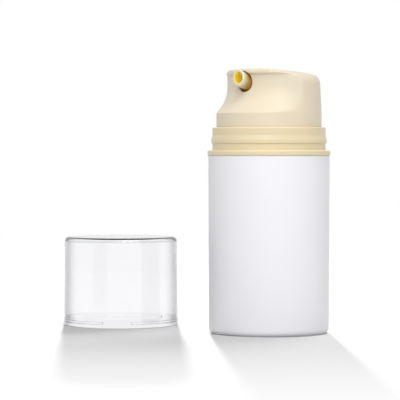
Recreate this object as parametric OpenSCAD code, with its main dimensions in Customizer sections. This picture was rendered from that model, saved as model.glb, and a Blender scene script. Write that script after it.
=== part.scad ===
// Airless pump bottle of about 50 ml, with its clear overcap standing beside it.
// Millimetres, +Z up. The origin is the centre of the bottle's foot on the table, and the spout
// points along -Y. The pump is drawn at rest, head up, with the follower piston at the bottom.

/* [Bottle] */
// Outside diameter of the bottle at its shoulder
bottle_d = 46; // [42:0.5:56]
// Height of the bottle from the table to its rim
bottle_h = 67.2; // [50:0.2:120]
// Wall of the bottle at its shoulder
bottle_wall = 1.7; // [1.5:0.1:2.5]
// How much the outside radius shrinks from the shoulder to the foot
bottle_draft = 0.25; // [0:0.05:0.4]
// Thickness of the bottle's floor
floor_t = 1.6; // [1.2:0.1:3]
// Depth of the hollow under the floor, inside the standing ring
foot_recess = 0.8; // [0.4:0.1:1.5]
// Width of the ring that the bottle stands on
foot_ring_w = 3; // [2:0.25:6]
// Rounding of the bottle's bottom edge
foot_edge_r = 1.8; // [0.5:0.1:3]
// Diameter of the air hole in the middle of the floor, wide enough to push the follower through it
vent_d = 6.4; // [6:0.2:10]

/* [Inner lid] */
// Depth from the bottle's rim down to the underside of the inner lid
lid_depth = 13.2; // [12:0.2:18]
// Thickness of the inner lid's disc
lid_t = 1.6; // [1:0.1:2.5]
// Wall of the inner lid's skirt
lid_wall = 0.9; // [0.8:0.1:1.4]
// Width of the step in the bottle's mouth that carries the lid's rim
seat_w = 0.8; // [0.6:0.1:1]
// Thickness of the lid's rim
rim_t = 1.2; // [0.8:0.1:2]
// Thickness of the sealing ring under the lid's rim
lid_gasket_t = 0.6; // [0.4:0.1:1]
// Wall of the turret that the pump hangs in
turret_wall = 1.4; // [1:0.1:2]

/* [Collar] */
// How far the collar's flange stands out past the bottle's side
flange_overhang = 0.3; // [0:0.05:1]
// Height of the flange
flange_h = 1.9; // [1.2:0.1:4]
// Height of the groove above the flange
groove_h = 2.65; // [2:0.05:4]
// Outside diameter of the ring above the groove
ring_d = 43; // [41:0.25:44]
// Height of that ring
ring_h = 6.05; // [5:0.05:10]
// Wall of the ring
ring_wall = 1.25; // [1:0.05:2]
// How far the snap lip at the ring's foot stands out
lip_proud = 0.4; // [0.2:0.05:0.6]
// Thickness of the web that holds the pump down
web_t = 1.3; // [1:0.1:2.5]
// Wall of the collar's plug inside the lid
plug_wall = 1; // [0.8:0.1:1.6]

/* [Pump] */
// Travel of the pump head
stroke = 5; // [3:0.25:6]
// Bore of the pump chamber
chamber_d = 11.4; // [10:0.2:13]
// Wall of the pump housing
housing_wall = 1.2; // [0.9:0.1:1.6]
// Length of the return spring at rest
spring_l = 11; // [10:0.25:14]
// Wire of the return spring
spring_wire = 0.7; // [0.5:0.05:0.8]
// Live turns of the return spring
spring_turns = 4; // [3:0.5:5]
// Height of the piston seal
seal_h = 5; // [4:0.25:7]
// Thickness of the housing's flange
housing_flange_t = 1; // [0.8:0.1:1.6]
// Thickness of the sealing ring under the housing's flange
housing_gasket_t = 0.8; // [0.5:0.1:1.2]
// Width of that sealing ring's seat
housing_seat_w = 2.8; // [2:0.1:4]
// Thickness of the retaining ring on top of the housing
chaplet_t = 1; // [0.8:0.1:2]
// Height of the retaining ring's skirt
chaplet_skirt = 4; // [2.5:0.25:4.5]
// Diameter of the inlet valve's ball
inlet_ball_d = 4; // [3:0.25:4.5]
// Lift of the inlet valve's ball
inlet_lift = 1.2; // [0.5:0.1:2]

/* [Stem] */
// Outside diameter of the stem
stem_d = 5; // [4.6:0.1:5.6]
// Bore of the stem
stem_bore = 2.6; // [2:0.1:2.8]
// Length of the stem
stem_l = 17.5; // [16.5:0.25:18]
// Diameter of the outlet valve's ball
outlet_ball_d = 3; // [2.8:0.1:3.2]
// Lift of the outlet valve's ball
outlet_lift = 1; // [0.5:0.1:1.2]

/* [Head] */
// Gap all round between the head's skirt and the collar's ring
head_gap = 0.3; // [0.2:0.05:0.6]
// Height of the head, from the foot of its skirt to the top of its front
head_h = 24.7; // [24:0.1:32]
// Wall of the head
head_wall = 1.3; // [1:0.1:1.8]
// How much the head's radius shrinks towards its top
head_draft = 0.55; // [0:0.05:1]
// Rounding of the head's top edge
head_edge_r = 3; // [1:0.1:4]
// Radius of the gentle dome on the head's top
dome_r = 250; // [120:10:600]
// How far in front of the head's side the dome would be highest
dome_lead = 1.6; // [-8:0.2:6]
// Height of the skirt below the scoop
skirt_h = 8; // [7:0.1:12]
// Depth of the finger scoop at the front
scoop_depth = 7; // [4:0.1:7.5]
// Height over which the scoop runs in
scoop_run = 10.2; // [8:0.1:12]
// How far the brim over the scoop stands out
brim_proud = 1; // [0.2:0.1:1.5]
// Height of the brim at the front
brim_h = 2.5; // [1.5:0.1:3.5]

/* [Spout] */
// Outside diameter of the spout
spout_d = 5.8; // [5.4:0.1:6.6]
// Bore of the spout's mouth
spout_bore = 4.4; // [3.4:0.1:4.6]
// Rise of the spout above level, in degrees
spout_tilt = 22; // [18:1:30]
// Reach of the spout's tip from the pump's axis
spout_reach = 16.6; // [14:0.2:24]
// Depth of the spout tip's centre below the head's top
spout_drop = 3.5; // [3:0.1:6]
// Gap at the spout's sides to the hole in the head
spout_gap = 0.95; // [0.4:0.05:1.2]
// How far the hole's axis lies below the spout's
hole_drop = 0.35; // [0:0.05:0.5]
// Wall of the tinted sleeve in the spout's mouth
sleeve_wall = 0.35; // [0.25:0.05:0.5]
// Length of that sleeve
sleeve_l = 6; // [3:0.5:9]

/* [Follower] */
// Height of the follower piston
follower_h = 12; // [9:0.5:16]
// Thickness of the follower's disc
follower_t = 1.2; // [0.9:0.1:2]
// Wall of the follower's skirt
follower_wall = 0.8; // [0.6:0.1:1.2]

/* [Overcap] */
// Height of the overcap
cap_h = 34.9; // [33.5:0.1:45]
// Wall of the overcap at its rim
cap_wall = 0.7; // [0.6:0.05:1.5]
// Thickness of the overcap's top
cap_top_t = 0.9; // [0.9:0.1:2]
// How much the overcap's radius shrinks towards its top
cap_draft = 0.4; // [0:0.05:0.5]
// Rounding of the overcap's top edge
cap_edge_r = 2; // [0.5:0.1:4]
// Height of the snap beads above the rim
bead_z = 1.9; // [1.6:0.1:2.1]
// How far the snap beads stand in from the wall
bead_proud = 0.3; // [0.2:0.05:0.4]
// Gap between two snap beads, in degrees
bead_gap = 28; // [10:1:60]
// Place of the overcap beside the bottle, sideways
cap_x = -68.5; // [-90:0.5:-50]
// Place of the overcap beside the bottle, front to back
cap_y = -14; // [-40:0.5:40]

/* [Fits] */
// Gap between pieces that are fixed together
fixed_gap = 0.03; // [0.02:0.01:0.06]
// Running gap of the piston, the stem and the follower
running_gap = 0.05; // [0.02:0.01:0.08]
// Gap between pieces that move clear of each other
clear_gap = 0.3; // [0.2:0.05:0.5]
// Gap between a plug and the mouth that it snaps into
plug_gap = 0.1; // [0.05:0.05:0.15]

/* [Hidden] */
$fn = 96;

// Colours
white_pp = [0.95, 0.95, 0.95];
cream_pp = [0.93, 0.86, 0.74];
natural_pp = [0.90, 0.90, 0.87];
amber = [0.84, 0.65, 0.10];
steel = [0.72, 0.73, 0.75];
rubber = [0.35, 0.35, 0.36];
clear = [0.90, 0.93, 0.95, 0.4];

// Bottle
bottle_r = bottle_d / 2;
foot_r = bottle_r - bottle_draft;
bore_r = bottle_r - bottle_wall;
floor_z = foot_recess + floor_t;
seat_r = bore_r + seat_w;
seat_z = bottle_h - rim_t - lid_gasket_t;
snap_h = 1;
snap_depth = 0.3;
lid_snap_drop = 3;

// Inner lid
lid_z = bottle_h - lid_depth;
lid_r = bore_r - plug_gap;
lid_bore_r = lid_r - lid_wall;
lid_snap_z = seat_z - lid_snap_drop;

// Pump housing, hung by its flange between the turret and the collar's web
chamber_r = chamber_d / 2;
housing_r = chamber_r + housing_wall;
turret_bore_r = housing_r + clear_gap;
flange_z = bottle_h;
web_sink = 0.5;
web_top_z = flange_z + flange_h + web_t - web_sink;
web_z = web_top_z - web_t;
housing_flange_z = web_z - housing_flange_t;
turret_top_z = housing_flange_z - housing_gasket_t;
housing_flange_r = turret_bore_r + housing_seat_w;
web_bore_r = turret_bore_r + plug_gap;

// Collar
groove_z = flange_z + flange_h;
ring_z = groove_z + groove_h;
ring_top_z = ring_z + ring_h;
ring_r = ring_d / 2;
ring_bore_r = ring_r - ring_wall;
flange_r = bottle_r + flange_overhang;
plug_r = lid_bore_r - plug_gap;
plug_room = 2.9;
plug_snap_rise = 1.5;
plug_z = lid_z + lid_t + plug_room;
plug_snap_z = plug_z + plug_snap_rise;

// Valves, spring and piston, from the bottom of the chamber upwards
// A ball of radius r sits on a cone of the slope below where its centre is r / seat_cos - hole over
// the slope above the cone's foot, and seat_play keeps the two surfaces apart
inlet_ball_r = inlet_ball_d / 2;
seat_slope = 0.75;
seat_cos = 1 / sqrt(1 + seat_slope * seat_slope);
seat_play = 0.04;
pocket_room = 0.5;
lift_room = 0.15;
nub_h = 0.6;
pocket_r = inlet_ball_r + pocket_room;
inlet_hole_r = inlet_ball_r * 0.75;
inlet_throat = 1.8;
chamber_floor_t = 2;
floor_under_z = lid_z + lid_t;
chamber_z = floor_under_z + chamber_floor_t;
inlet_ball_z = chamber_z - nub_h - inlet_lift - lift_room - inlet_ball_r;
inlet_cone_z = inlet_ball_z - (inlet_ball_r / seat_cos - inlet_hole_r) / seat_slope - seat_play;
inlet_z = inlet_cone_z - inlet_throat;
boss_r = pocket_r + housing_wall;
poppet_z = chamber_z + spring_l;
poppet_t = 0.8;
poppet_cup_h = 1.2;
poppet_cup_wall = 0.7;
seal_z = poppet_z + poppet_t + 2 * plug_gap;
seal_top_z = seal_z + seal_h;
chaplet_lip = 0.5;
housing_top_z = seal_top_z + clear_gap + chaplet_lip;
chaplet_top_z = housing_top_z + chaplet_t;
spring_room = 1.05;
spring_r = chamber_r - spring_room - spring_wire / 2;

// Stem
stem_r = stem_d / 2;
stem_bore_r = stem_bore / 2;
stem_z = poppet_z + poppet_t + plug_gap;
stem_top_z = stem_z + stem_l;
outlet_ball_r = outlet_ball_d / 2;
outlet_room = 0.25;
outlet_step = 0.2;
outlet_pocket_r = outlet_ball_r + outlet_room;
outlet_hole_r = stem_bore_r - outlet_step;
outlet_ball_z = stem_top_z - outlet_ball_r - outlet_lift - outlet_room;
outlet_cone_z = outlet_ball_z - (outlet_ball_r / seat_cos - outlet_hole_r) / seat_slope - seat_play;

// Head
head_r = ring_bore_r - head_gap;
head_z = web_top_z + stroke + clear_gap;
head_top_z = head_z + head_h;
ledge_z = head_z + skirt_h;
brim_z = head_top_z - brim_h;
scoop_top_z = ledge_z + scoop_run;
dome_y = -(head_r + dome_lead);
scoop_side_r = head_r + 0.5;
scoop_steps = 20;
// Depth under the dome's peak of the top edge's rounding, and the angle that it turns through
edge_sink = 1.3;
edge_sweep = 68;
roof_extra = 0.2;
roof_t = head_wall + roof_extra;
head_boss_wall = 1.1;
head_boss_h = 3;
rib_t = 1;

// Spout core
socket_wall = 1.7;
post_drop = 5.5;
socket_r = stem_r + socket_wall;
socket_z = chaplet_top_z + stroke + 2 * clear_gap;
post_top_z = head_top_z - post_drop;
spout_r = spout_d / 2;
spout_bore_r = spout_bore / 2;
spout_tip_z = head_top_z - spout_drop;
spout_root_z = spout_tip_z - spout_reach * tan(spout_tilt);
spout_l = spout_reach / cos(spout_tilt);
spout_hole_r = spout_r + spout_gap;
channel_r = outlet_hole_r + 0.15;
sleeve_inset = 0.3;
shoulder_r = spout_hole_r + 0.25;
shoulder_t = 1;
// The shoulder's foot comes closest to the inside of the scooped wall
shoulder_y = head_r - scoop_depth - head_wall - clear_gap - shoulder_r * sin(spout_tilt);

// Follower
follower_r = bore_r - running_gap;
follower_z = floor_z + clear_gap;
follower_top_z = follower_z + follower_h;
dish_room = 1.5;
follower_dish_r = boss_r + dish_room;
follower_dish = lid_z - inlet_z + dish_room;

// Overcap, sized to pass over the collar's lip and to sit on its flange
cap_bore_r = ring_r + lip_proud + plug_gap;
cap_r = cap_bore_r + cap_wall;
bead_h = 1.2;
// Direction of the middle of one gap between beads, in degrees from +X
bead_turn = -46;

// Points of an arc about a centre, from angle a0 to a1
function arc(cx, cy, r, a0, a1, n = 6) =
    [for (i = [0:n]) let (a = a0 + (a1 - a0) * i / n) [cx + r * cos(a), cy + r * sin(a)]];

// Depth of the scoop behind the head's side at height z: a parabola that leaves the side at the
// ledge, then a straight wall up to the brim. grow moves it inwards, to draw the wall's inside.
function scoop_in(z, grow) =
    let (run = (scoop_top_z - z - grow / 2) / scoop_run)
    scoop_depth * (1 - pow(max(0, run), 2)) + grow;
function scoop_at(z, grow) =
    z + grow > brim_z + brim_proud ? scoop_depth - brim_proud + grow :
    z + grow > brim_z ? scoop_depth - (z + grow - brim_z) + grow : scoop_in(z, grow);

// Plan of the scoop at depth s: an arc through two fixed points at the head's sides and through the
// front point that lies s behind the head's side. The points run from the left side to the right.
function scoop_c(s) = (pow(scoop_side_r, 2) - pow(head_r - s, 2)) / (2 * (head_r - s));
function scoop_plan(s) =
    let (c = scoop_c(s), rho = c + head_r - s, half = asin(scoop_side_r / rho),
         wide = c > 0 ? half : 180 - half)
    [for (i = [0:scoop_steps]) let (a = -90 + wide * (2 * i / scoop_steps - 1))
        [rho * cos(a), c + rho * sin(a)]];

// Heights of the scoop's sections, closer together where the profile bends
function scoop_levels(grow) = concat(
    [for (i = [0:8]) ledge_z - 0.4 - grow * 1.2 + (scoop_top_z - ledge_z + 0.4 + grow * 0.6) * i / 8],
    [brim_z - grow, brim_z + brim_proud - grow, head_top_z + 3]);

// The space in front of the scooped wall, as one closed mesh between the wall and a far arc
module scoop_space(grow = 0) {
    levels = scoop_levels(grow);
    n = scoop_steps + 1;
    far_r = head_r + 6;
    rings = [for (z = levels) let (near = scoop_plan(scoop_at(z, grow)))
        concat([for (p = near) [p[0], p[1], z]],
               [for (i = [scoop_steps:-1:0]) let (a = -180 + 180 * i / scoop_steps)
                   [far_r * cos(a), far_r * sin(a), z]])];
    m = 2 * n;
    top = len(levels) - 1;
    points = [for (ring = rings) for (p = ring) p];
    sides = [for (k = [0:top - 1]) for (i = [0:m - 1]) let (j = (i + 1) % m)
        each [[k * m + i, (k + 1) * m + j, (k + 1) * m + i], [k * m + i, k * m + j, (k + 1) * m + j]]];
    ends = [for (i = [0:scoop_steps - 1]) let (a = i, b = i + 1, c = m - 2 - i, d = m - 1 - i)
        each [[a, c, b], [a, d, c], [top * m + a, top * m + b, top * m + c],
              [top * m + a, top * m + c, top * m + d]]];
    polyhedron(points = points, faces = concat(sides, ends), convexity = 6);
}

// Tube along a helix with a closed coil at each end
module coil(mean_r, wire_r, height, live) {
    sides = 6;
    per_turn = 16;
    dead = 1;
    pitch_dead = wire_r * 2 + 0.05;
    turns = live + 2 * dead;
    n = turns * per_turn;
    live_h = height - 2 * wire_r - 2 * dead * pitch_dead;
    function z_at(t) = t < dead ? t * pitch_dead
        : t < dead + live ? dead * pitch_dead + (t - dead) / live * live_h
        : dead * pitch_dead + live_h + (t - dead - live) * pitch_dead;
    points = [for (i = [0:n]) let (t = i / per_turn, a = 360 * t) for (k = [0:sides - 1])
        let (b = 360 * k / sides, r = mean_r + wire_r * cos(b))
        [r * cos(a), r * sin(a), wire_r + z_at(t) + wire_r * sin(b)]];
    walls = [for (i = [0:n - 1]) for (k = [0:sides - 1]) let (l = (k + 1) % sides)
        each [[i * sides + k, i * sides + l, (i + 1) * sides + l],
              [i * sides + k, (i + 1) * sides + l, (i + 1) * sides + k]]];
    caps = concat([for (k = [1:sides - 2]) [0, k + 1, k]],
                  [for (k = [1:sides - 2]) [n * sides, n * sides + k, n * sides + k + 1]]);
    polyhedron(points = points, faces = concat(walls, caps), convexity = 8);
}

// Round shape about the spout's axis, which starts on the pump's axis; its profile is radius and
// distance along the spout
module along_spout(profile) {
    translate([0, 0, spout_root_z])
        rotate([90 - spout_tilt, 0, 0])
            rotate_extrude()
                polygon(profile);
}

// The space in front of an upright plane that faces the way the spout points
module in_front_of(reach) {
    side = 20;
    translate([-side / 2, -reach - side, spout_tip_z - side / 2])
        cube(side);
}

// White bottle with a standing ring, an air hole and a stepped mouth
module bottle_body() {
    ring_r_in = foot_r - foot_edge_r - foot_ring_w;
    color(white_pp)
        rotate_extrude()
            polygon(concat(
                [[vent_d / 2, foot_recess], [ring_r_in - foot_recess, foot_recess], [ring_r_in, 0]],
                arc(foot_r - foot_edge_r, foot_edge_r, foot_edge_r, -90, 0),
                [[bottle_r, bottle_h], [seat_r, bottle_h], [seat_r, seat_z], [bore_r, seat_z],
                 [bore_r, lid_snap_z + snap_h / 2], [bore_r + snap_depth, lid_snap_z + snap_h / 4],
                 [bore_r + snap_depth, lid_snap_z - snap_h / 4], [bore_r, lid_snap_z - snap_h / 2],
                 [bore_r, floor_z], [vent_d / 2, floor_z]]));
}

// Cup-shaped plug in the bottle's mouth, with the turret that the pump hangs in
module inner_lid() {
    rim_r = seat_r - plug_gap;
    rim_z = bottle_h - rim_t;
    bead = snap_depth - plug_gap / 2;
    color(natural_pp)
        rotate_extrude()
            polygon([[turret_bore_r, lid_z], [lid_r, lid_z],
                     [lid_r, lid_snap_z - snap_h / 2], [bore_r + bead, lid_snap_z - snap_h / 4],
                     [bore_r + bead, lid_snap_z + snap_h / 4], [lid_r, lid_snap_z + snap_h / 2],
                     [lid_r, rim_z], [rim_r, rim_z], [rim_r, bottle_h], [lid_bore_r, bottle_h],
                     [lid_bore_r, plug_snap_z + snap_h / 2],
                     [lid_bore_r + snap_depth, plug_snap_z + snap_h / 4],
                     [lid_bore_r + snap_depth, plug_snap_z - snap_h / 4],
                     [lid_bore_r, plug_snap_z - snap_h / 2],
                     [lid_bore_r, lid_z + lid_t], [turret_bore_r + turret_wall, lid_z + lid_t],
                     [turret_bore_r + turret_wall, turret_top_z], [turret_bore_r, turret_top_z]]);
}

// Sealing ring between the bottle's step and the lid's rim
module lid_gasket() {
    color(rubber)
        translate([0, 0, seat_z])
            difference() {
                cylinder(r = seat_r - plug_gap / 2, h = lid_gasket_t);
                translate([0, 0, -1])
                    cylinder(r = bore_r + plug_gap / 2, h = lid_gasket_t + 2);
            }
}

// Cream collar: flange, groove, ring with its snap lip, web and inner plug
module collar() {
    soft = 0.3;
    lip_r = ring_r + lip_proud;
    bead = snap_depth - plug_gap / 2;
    color(cream_pp)
        rotate_extrude()
            polygon(concat(
                [[plug_r - plug_wall, plug_z], [plug_r, plug_z],
                 [plug_r, plug_snap_z - snap_h / 2], [lid_bore_r + bead, plug_snap_z - snap_h / 4],
                 [lid_bore_r + bead, plug_snap_z + snap_h / 4], [plug_r, plug_snap_z + snap_h / 2],
                 [plug_r, flange_z]],
                arc(flange_r - soft, flange_z + soft, soft, -90, 0, 4),
                arc(flange_r - soft, groove_z - soft, soft, 0, 90, 4),
                [[ring_r, groove_z], [ring_r, ring_z]],
                [[lip_r - 0.1, ring_z], [lip_r, ring_z + 0.15], [lip_r, ring_z + 1.3],
                 [ring_r, ring_z + ring_h * 0.5]],
                arc(ring_r - soft, ring_top_z - soft, soft, 0, 90, 4),
                [[ring_bore_r + 0.15, ring_top_z], [ring_bore_r, ring_top_z - 0.15],
                 [ring_bore_r, web_top_z], [web_bore_r, web_top_z], [web_bore_r, web_z],
                 [plug_r - plug_wall, web_z]]));
}

// Pump chamber with its flange, inlet seat and the three nubs that keep the ball in
module pump_housing() {
    nubs = 3;
    nub_in = 0.9;
    nub_w = 1;
    cone_top = inlet_cone_z + (pocket_r - inlet_hole_r) / seat_slope;
    color(natural_pp) {
        rotate_extrude()
            polygon([[inlet_hole_r, inlet_z], [boss_r - 0.6, inlet_z], [boss_r, inlet_z + 0.6],
                     [boss_r, floor_under_z], [housing_r, floor_under_z],
                     [housing_r, housing_flange_z], [housing_flange_r, housing_flange_z],
                     [housing_flange_r, web_z], [housing_r, web_z], [housing_r, housing_top_z],
                     [chamber_r, housing_top_z], [chamber_r, chamber_z], [pocket_r, chamber_z],
                     [pocket_r, cone_top], [inlet_hole_r, inlet_cone_z]]);
        for (i = [0:nubs - 1])
            rotate([0, 0, 360 * i / nubs])
                translate([pocket_r - nub_in, -nub_w / 2, chamber_z - nub_h])
                    cube([nub_in + 0.2, nub_w, nub_h]);
    }
}

// Sealing ring between the turret and the housing's flange
module housing_gasket() {
    color(rubber)
        translate([0, 0, turret_top_z])
            difference() {
                cylinder(r = housing_flange_r - 0.2, h = housing_gasket_t);
                translate([0, 0, -1])
                    cylinder(r = turret_bore_r, h = housing_gasket_t + 2);
            }
}

// Ring snapped over the top of the housing: guides the stem and stops the piston
module chaplet() {
    guide_r = stem_r + running_gap;
    lip_in = chamber_r - fixed_gap;
    color(natural_pp)
        rotate_extrude()
            polygon([[guide_r, housing_top_z], [lip_in - 1, housing_top_z],
                     [lip_in - 1, seal_top_z + clear_gap], [lip_in, seal_top_z + clear_gap],
                     [lip_in, housing_top_z], [housing_r + fixed_gap, housing_top_z],
                     [housing_r + fixed_gap, chaplet_top_z - chaplet_t - chaplet_skirt],
                     [housing_r + 1, chaplet_top_z - chaplet_t - chaplet_skirt],
                     [housing_r + 1, chaplet_top_z - 0.4], [housing_r + 0.6, chaplet_top_z],
                     [guide_r, chaplet_top_z]]);
}

// Stainless return spring in the chamber
module return_spring() {
    color(steel)
        translate([0, 0, chamber_z])
            coil(spring_r, spring_wire / 2, spring_l, spring_turns);
}

// Ball of the inlet valve, on its seat
module inlet_ball() {
    color(steel)
        translate([0, 0, inlet_ball_z])
            sphere(r = inlet_ball_r);
}

// Plug at the stem's foot that takes the spring's push
module poppet() {
    cup_r = stem_r + fixed_gap;
    color(natural_pp)
        rotate_extrude()
            polygon([[stem_bore_r, poppet_z], [chamber_r - 0.5, poppet_z],
                     [chamber_r - 0.5, poppet_z + poppet_t],
                     [cup_r + poppet_cup_wall, poppet_z + poppet_t],
                     [cup_r + poppet_cup_wall, poppet_z + poppet_t + poppet_cup_h],
                     [cup_r, poppet_z + poppet_t + poppet_cup_h],
                     [cup_r, poppet_z + poppet_t], [stem_bore_r, poppet_z + poppet_t]]);
}

// Soft piston with a lip at each end
module piston_seal() {
    cup_r = stem_r + fixed_gap + poppet_cup_wall + plug_gap;
    cup_top = poppet_z + poppet_t + poppet_cup_h + 0.15;
    lip_r = chamber_r - running_gap;
    waist_r = lip_r - 0.6;
    lip_h = 0.7;
    color(natural_pp)
        rotate_extrude()
            polygon([[cup_r, seal_z], [lip_r, seal_z], [lip_r, seal_z + lip_h],
                     [waist_r, seal_z + lip_h + 0.9], [waist_r, seal_top_z - lip_h - 0.9],
                     [lip_r, seal_top_z - lip_h], [lip_r, seal_top_z], [lip_r - 0.6, seal_top_z],
                     [lip_r - 1.1, seal_top_z - 0.8], [stem_r + 0.8, seal_top_z - 0.8],
                     [stem_r + running_gap, seal_top_z - 0.8], [stem_r + running_gap, cup_top],
                     [cup_r, cup_top]]);
}

// Hollow stem from the poppet up into the head, with the outlet valve's seat in its top
module stem() {
    cone_top = outlet_cone_z + (outlet_pocket_r - outlet_hole_r) / seat_slope;
    color(natural_pp)
        rotate_extrude()
            polygon([[stem_bore_r, stem_z], [stem_r - 0.2, stem_z], [stem_r, stem_z + 0.3],
                     [stem_r, stem_top_z - 0.3], [stem_r - 0.2, stem_top_z],
                     [outlet_pocket_r, stem_top_z], [outlet_pocket_r, cone_top],
                     [outlet_hole_r, outlet_cone_z], [stem_bore_r, outlet_cone_z - 0.3]]);
}

// Ball of the outlet valve, on its seat in the stem
module outlet_ball() {
    color(steel)
        translate([0, 0, outlet_ball_z])
            sphere(r = outlet_ball_r);
}

// Core inside the head: socket on the stem, and the spout that comes out through the head's hole.
// A shoulder on the spout closes the hole from inside, and the spout's mouth is cut upright
module spout_core() {
    past = 1;
    seat_l = spout_l - sleeve_inset - sleeve_l;
    shoulder_l = shoulder_y / cos(spout_tilt);
    color(white_pp)
        difference() {
            union() {
                translate([0, 0, socket_z])
                    cylinder(r = socket_r, h = post_top_z - socket_z);
                along_spout([[0, 0], [spout_r, 0], [spout_r, shoulder_l - shoulder_t],
                             [shoulder_r, shoulder_l - shoulder_t], [shoulder_r, shoulder_l],
                             [spout_r, shoulder_l], [spout_r, spout_l + 2 * past],
                             [0, spout_l + 2 * past]]);
            }
            in_front_of(spout_reach);
            translate([0, 0, socket_z - past])
                cylinder(r = stem_r + fixed_gap, h = stem_top_z + fixed_gap - socket_z + past);
            translate([0, 0, stem_top_z - past])
                cylinder(r = outlet_hole_r, h = spout_root_z - stem_top_z + past);
            along_spout([[0, -channel_r], [channel_r, -channel_r], [channel_r, seat_l],
                         [spout_bore_r, seat_l], [spout_bore_r, spout_l + 3 * past],
                         [0, spout_l + 3 * past]]);
        }
}

// Tinted sleeve pushed into the spout's mouth
module orifice_sleeve() {
    outer = spout_bore_r - fixed_gap;
    start = spout_l - sleeve_inset - sleeve_l + fixed_gap;
    end = spout_l + 2;
    color(amber)
        difference() {
            along_spout([[outer - sleeve_wall, start], [outer, start], [outer, end],
                         [outer - sleeve_wall, end]]);
            in_front_of(spout_reach - sleeve_inset);
        }
}

// Plain body of the head without its scoop. grow draws the inside of its wall
module head_blank(grow = 0) {
    side_r = head_r - grow;
    top_r = side_r - head_draft;
    edge_r = max(0.6, head_edge_r - grow);
    top_z = head_top_z - (grow > 0 ? roof_t : 0);
    intersection() {
        rotate_extrude()
            polygon(concat([[0, head_z - (grow > 0 ? 1 : 0)], [side_r, head_z - (grow > 0 ? 1 : 0)],
                            [side_r, ledge_z]],
                           arc(top_r - edge_r, top_z - edge_sink - edge_r, edge_r, 0, edge_sweep),
                           [[top_r - edge_r - 2, top_z + 1], [0, top_z + 1]]));
        translate([0, dome_y, top_z - dome_r])
            sphere(r = dome_r, $fn = 256);
    }
}

// Cream push head: skirt, finger scoop with a brim over it, hole for the spout, inner boss and ribs
module actuator_shell() {
    boss_in = socket_r + fixed_gap;
    boss_out = boss_in + head_boss_wall;
    rib_z = post_top_z - head_boss_h;
    color(cream_pp)
        difference() {
            union() {
                difference() {
                    head_blank();
                    difference() {
                        head_blank(head_wall);
                        scoop_space(head_wall);
                    }
                }
                intersection() {
                    head_blank(head_wall - 0.2);
                    union() {
                        translate([0, 0, rib_z])
                            cylinder(r = boss_out, h = head_top_z - rib_z);
                        for (a = [0, 90, 180])
                            rotate([0, 0, a])
                                translate([boss_in + 0.4, -rib_t / 2, rib_z])
                                    cube([head_r, rib_t, head_top_z - rib_z]);
                    }
                }
            }
            scoop_space();
            translate([0, 0, head_z - 1])
                cylinder(r = boss_in, h = post_top_z + fixed_gap - head_z + 1);
            translate([0, 0, -hole_drop])
                along_spout([[0, 0], [spout_hole_r, 0], [spout_hole_r, spout_l + 4],
                             [0, spout_l + 4]]);
        }
}

// Follower piston at the bottom of the bottle, with a lip at each end and a dish for the pump's inlet
module follower_piston() {
    lip_h = 1.2;
    relief = 0.5;
    skirt_r = follower_r - relief;
    skirt_in = skirt_r - follower_wall;
    disc_top = follower_top_z - 1;
    dish_in = follower_dish_r;
    color(natural_pp)
        rotate_extrude()
            polygon([[0, disc_top - follower_dish - follower_t],
                     [dish_in + 1, disc_top - follower_dish - follower_t],
                     [dish_in + 1, disc_top - follower_t], [skirt_in, disc_top - follower_t],
                     [skirt_in, follower_z], [follower_r, follower_z],
                     [follower_r, follower_z + lip_h], [skirt_r, follower_z + lip_h + 1.5],
                     [skirt_r, follower_top_z - lip_h - 1.5], [follower_r, follower_top_z - lip_h],
                     [follower_r, follower_top_z], [follower_r - 0.6, follower_top_z],
                     [follower_r - 1.6, disc_top], [dish_in, disc_top],
                     [dish_in, disc_top - follower_dish], [0, disc_top - follower_dish]]);
}

// Clear overcap standing on its rim beside the bottle, with three snap beads inside
module overcap() {
    top_r = cap_r - cap_draft;
    in_top_r = cap_bore_r - cap_draft;
    in_edge_r = max(0.4, cap_edge_r - 0.8);
    beads = 3;
    bead_arc = 360 / beads - bead_gap;
    color(clear)
        translate([cap_x, cap_y, 0]) {
            rotate_extrude()
                polygon(concat(
                    [[cap_bore_r, 0.2], [cap_bore_r + 0.2, 0], [cap_r - 0.2, 0], [cap_r, 0.2]],
                    arc(top_r - cap_edge_r, cap_h - cap_edge_r, cap_edge_r, 0, 90),
                    [[0, cap_h], [0, cap_h - cap_top_t]],
                    arc(in_top_r - in_edge_r, cap_h - cap_top_t - in_edge_r, in_edge_r, 90, 0)));
            for (i = [0:beads - 1])
                rotate([0, 0, bead_turn + bead_gap / 2 + 360 * i / beads])
                    rotate_extrude(angle = bead_arc)
                        translate([cap_bore_r, bead_z])
                            polygon([[0.3, -bead_h / 2], [0, -bead_h / 2], [-bead_proud, -bead_h / 6],
                                     [-bead_proud, bead_h / 6], [0, bead_h / 2], [0.3, bead_h / 2]]);
        }
}

bottle_body();
inner_lid();
lid_gasket();
collar();
pump_housing();
housing_gasket();
chaplet();
return_spring();
inlet_ball();
poppet();
piston_seal();
stem();
outlet_ball();
spout_core();
orifice_sleeve();
actuator_shell();
follower_piston();
overcap();
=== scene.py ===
# %% [markdown]
# # An airless pump bottle and its clear cap
#
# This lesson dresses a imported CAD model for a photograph. The model is a small cosmetic bottle:
# a white body, a cream collar and push head, a spout that looks out of the head, and a clear cap
# that stands beside it. The CAD solids say where everything is and how it moves. What is made
# here are finer skins for the pieces that show, and a finish for every piece.

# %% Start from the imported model
import math

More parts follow.
